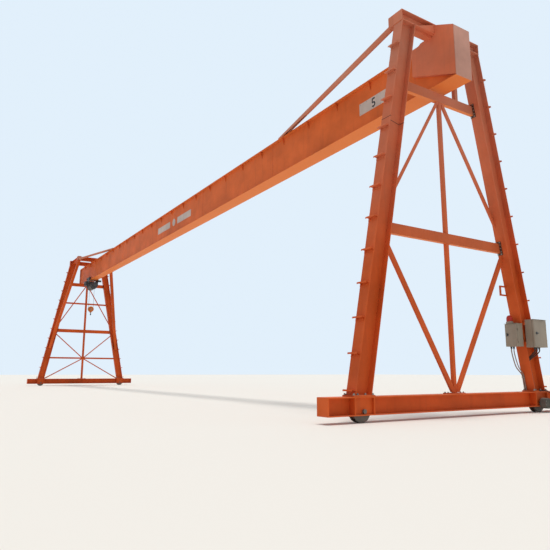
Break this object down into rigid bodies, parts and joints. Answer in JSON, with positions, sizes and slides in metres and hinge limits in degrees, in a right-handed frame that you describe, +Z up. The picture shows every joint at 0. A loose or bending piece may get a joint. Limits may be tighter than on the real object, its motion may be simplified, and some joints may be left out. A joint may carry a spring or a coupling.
{
  "type": "rail mounted gantry crane",
  "caption": "Single box girder gantry crane on rail wheels, with braced A-shaped legs, an underhung wire rope hoist and a hook.",
  "frame": {"origin": "on the ground plane under the middle of the girder, level with the lowest points of the wheel flanges", "axes": "+X along the girder towards the slender frame, +Y along the rails, +Z up"},
  "size_m": [26.3, 5.33, 6.65],
  "materials": {
    "orange_paint": "gloss orange paint on rolled and plated steel",
    "pale_grey_paint": "pale grey powder coat",
    "machine_paint": "dark grey machine paint",
    "wheel_steel": "worn cast steel",
    "rope_steel": "greased wire rope",
    "beacon_lens": "red lens"
  },
  "bodies": {
    "root": {"near_sill": "orange_paint", "near_left_leg": "orange_paint", "near_right_leg": "orange_paint", "near_saddle_beam": "orange_paint", "near_wide_ties": "orange_paint", "near_center_post": "orange_paint", "near_braces": "orange_paint", "far_sill": "orange_paint", "far_left_leg": "orange_paint", "far_right_leg": "orange_paint", "far_inner_struts": "orange_paint", "far_saddle_beams": "orange_paint", "far_saddle_sides": "orange_paint", "far_ties": "orange_paint", "far_center_post": "orange_paint", "far_braces": "orange_paint", "leg_steps": "orange_paint", "girder_webs": "orange_paint", "girder_top_flange": "orange_paint", "girder_bottom_flange": "orange_paint", "girder_end_plates": "orange_paint", "girder_gussets": "orange_paint", "girder_stays": "orange_paint", "stay_brackets": "orange_paint", "web_plates": "pale_grey_paint", "travel_gear_cases": "machine_paint", "travel_motors": "machine_paint", "left_cabinet": "pale_grey_paint", "right_cabinet": "pale_grey_paint", "cabinet_brackets": "orange_paint", "collector_bracket": "orange_paint", "beacon": "beacon_lens"},
    "hoist": {"hoist_trolley": "machine_paint", "hoist_drum": "machine_paint", "hoist_motor": "machine_paint", "hoist_gearbox": "machine_paint", "rope": "rope_steel"},
    "hook_block": {"hook_block": "orange_paint"},
    "hook": {"hook": "machine_paint"},
    "left_cabinet_door": {"left_cabinet_door": "pale_grey_paint"},
    "right_cabinet_door": {"right_cabinet_door": "pale_grey_paint"},
    "near_left_wheel": {"near_left_wheel": "wheel_steel"},
    "near_right_wheel": {"near_right_wheel": "wheel_steel"},
    "far_left_wheel": {"far_left_wheel": "wheel_steel"},
    "far_right_wheel": {"far_right_wheel": "wheel_steel"}
  },
  "joints": [
    {"name": "hoist_travel", "type": "slide", "parent": "root", "child": "hoist", "axis": [1, 0, 0], "range_m": [-0.4, 22.8]},
    {"name": "hook_lift", "type": "slide", "parent": "hoist", "child": "hook_block", "axis": [0, 0, 1], "range_m": [-3.55, 0.75], "deforming": ["rope"]},
    {"name": "hook_swivel", "type": "hinge", "parent": "hook_block", "child": "hook", "pos_m": [-11, 0, 3.805], "axis": [0, 0, 1], "continuous": true},
    {"name": "left_cabinet_door_hinge", "type": "hinge", "parent": "root", "child": "left_cabinet_door", "pos_m": [12.772, 1.49498, 1.125], "axis": [0, 0, 1], "range_deg": [0, 105]},
    {"name": "right_cabinet_door_hinge", "type": "hinge", "parent": "root", "child": "right_cabinet_door", "pos_m": [12.91, 2.07483, 1.11], "axis": [0, 0, 1], "range_deg": [0, 105]},
    {"name": "near_left_wheel_turn", "type": "hinge", "parent": "root", "child": "near_left_wheel", "pos_m": [12.65, -2.0375, 0.155], "axis": [1, 0, 0], "continuous": true},
    {"name": "near_right_wheel_turn", "type": "hinge", "parent": "root", "child": "near_right_wheel", "pos_m": [12.65, 2.0375, 0.155], "axis": [1, 0, 0], "continuous": true},
    {"name": "far_left_wheel_turn", "type": "hinge", "parent": "root", "child": "far_left_wheel", "pos_m": [-12.1, -2.0375, 0.155], "axis": [1, 0, 0], "continuous": true},
    {"name": "far_right_wheel_turn", "type": "hinge", "parent": "root", "child": "far_right_wheel", "pos_m": [-12.1, 2.0375, 0.155], "axis": [1, 0, 0], "continuous": true}
  ]
}
